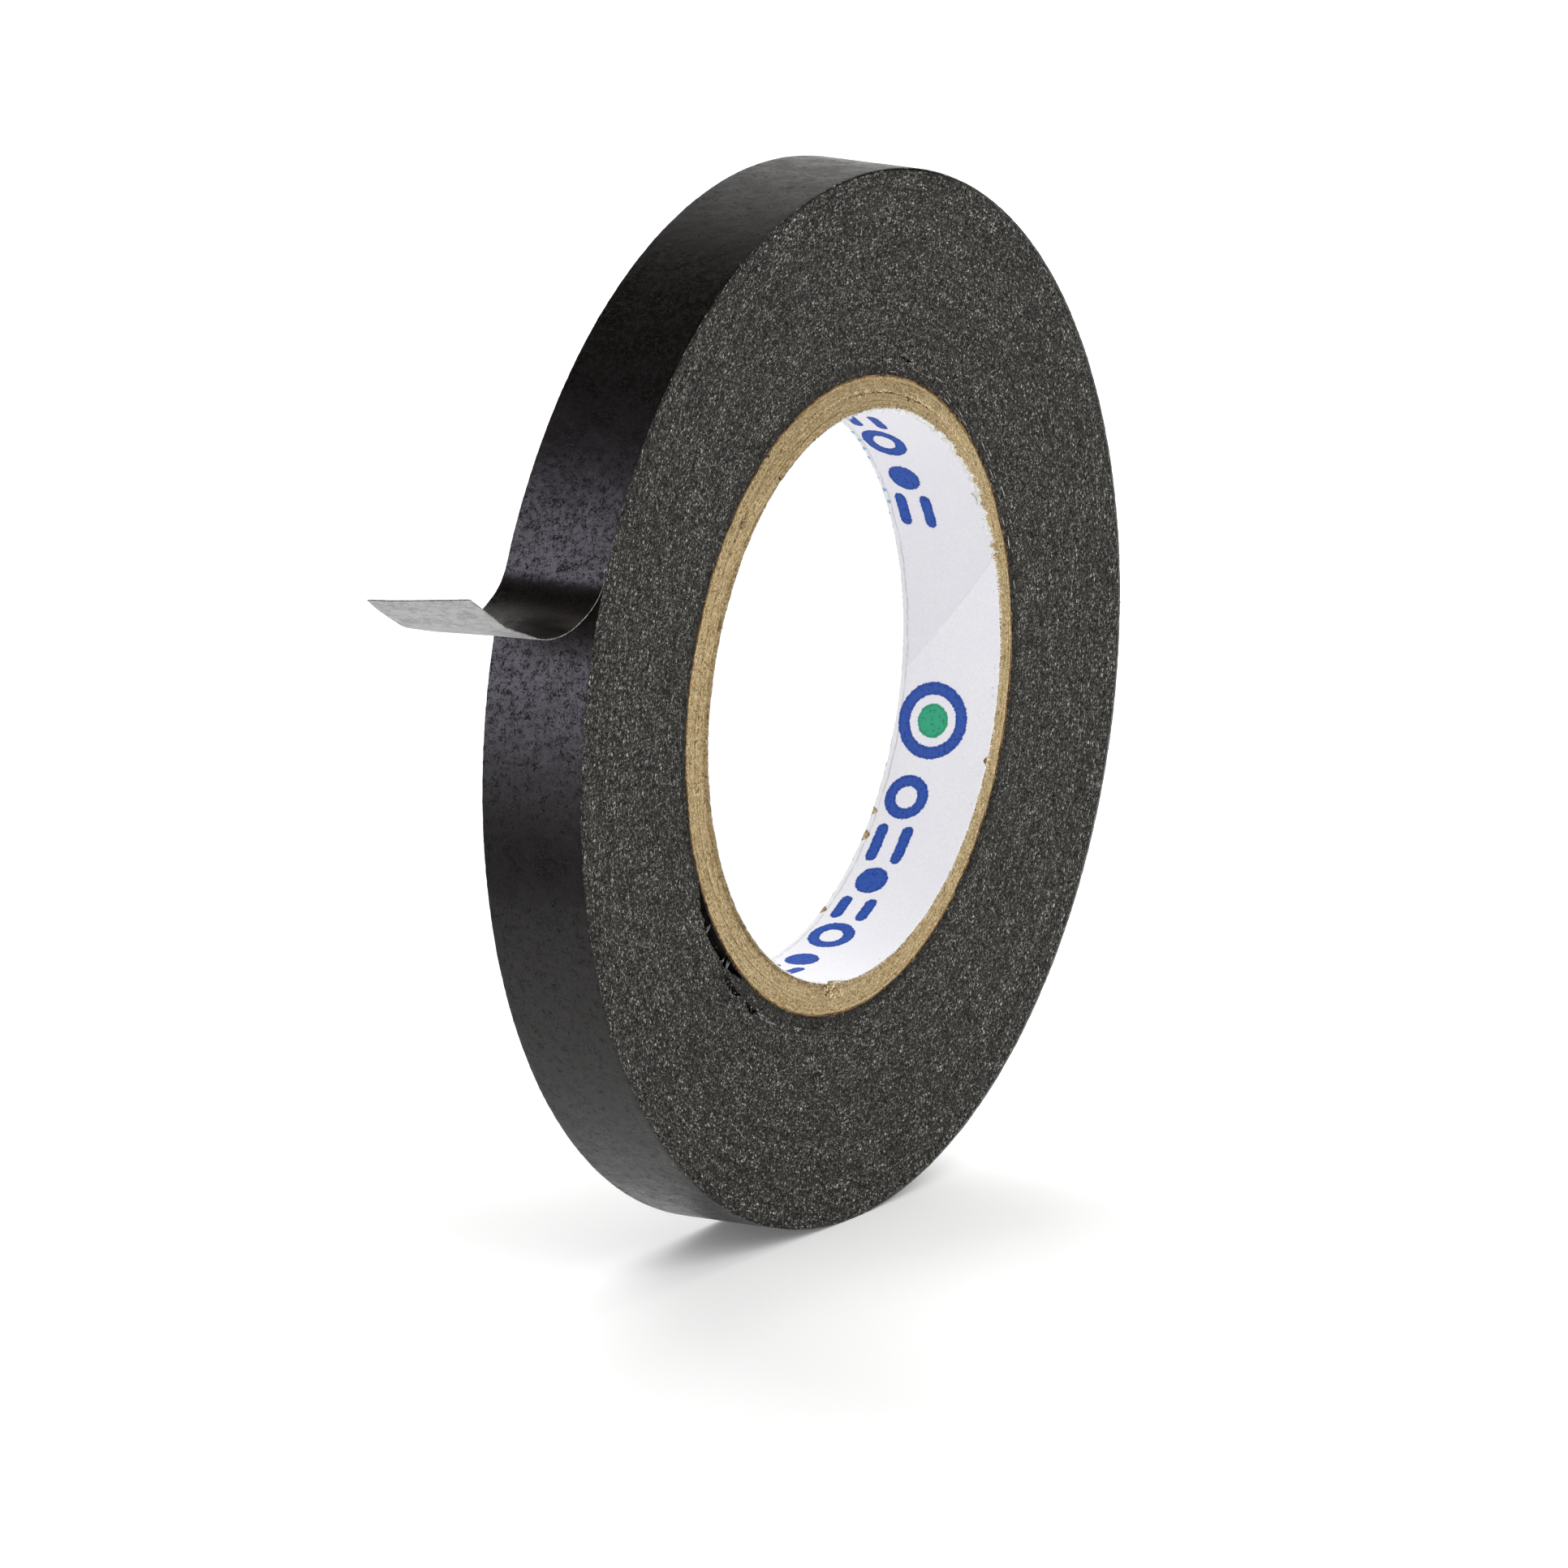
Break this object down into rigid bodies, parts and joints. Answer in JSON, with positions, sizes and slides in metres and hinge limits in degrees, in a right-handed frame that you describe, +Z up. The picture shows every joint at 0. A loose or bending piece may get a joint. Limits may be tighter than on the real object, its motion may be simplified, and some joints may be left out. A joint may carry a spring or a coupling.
{
  "type": "tape roll",
  "caption": "Roll of narrow black paper tape wound on a laminated paperboard core with a white liner, its free end peeled out and curled.",
  "frame": {"origin": "centre of the core's bore, at half the tape's width", "axes": "+Y along the bore axis, away from the front face; +Z up, standing on the rim; the free end stands out on the -X side"},
  "size_m": [0.17, 0.0158, 0.1415],
  "materials": {
    "liner_paper": "matte, coated white",
    "core_board": "raw cut board",
    "kraft_ply": "raw kraft",
    "tape_edge": "slit fibre edges",
    "tape_backing": "satin, finely crinkled",
    "tape_adhesive": "tacky, mottled grey"
  },
  "bodies": {
    "roll": {"core_liner": "liner_paper", "core_ply_1": "core_board", "core_ply_2": "core_board", "core_ply_3": "core_board", "core_ply_4": "core_board", "core_ply_5": "core_board", "core_ply_6": "core_board", "core_ply_7": "core_board", "core_ply_8": "core_board", "core_outer_ply": "kraft_ply", "inner_turns": "tape_edge", "tape_pack": "tape_edge"},
    "outer_turn": {"outer_turn_backing": "tape_backing", "outer_turn_adhesive": "tape_adhesive"},
    "tail": {"tail_backing": "tape_backing", "tail_adhesive": "tape_adhesive"}
  },
  "joints": [
    {"name": "unwind", "type": "hinge", "parent": "roll", "child": "outer_turn", "pos_m": [0.0009, 0, -0.0007], "axis": [0, 1, 0], "continuous": true},
    {"name": "peel", "type": "hinge", "parent": "outer_turn", "child": "tail", "pos_m": [-0.06494, 0, 0.02661], "axis": [0, 1, 0], "range_deg": [-30, 105]}
  ]
}
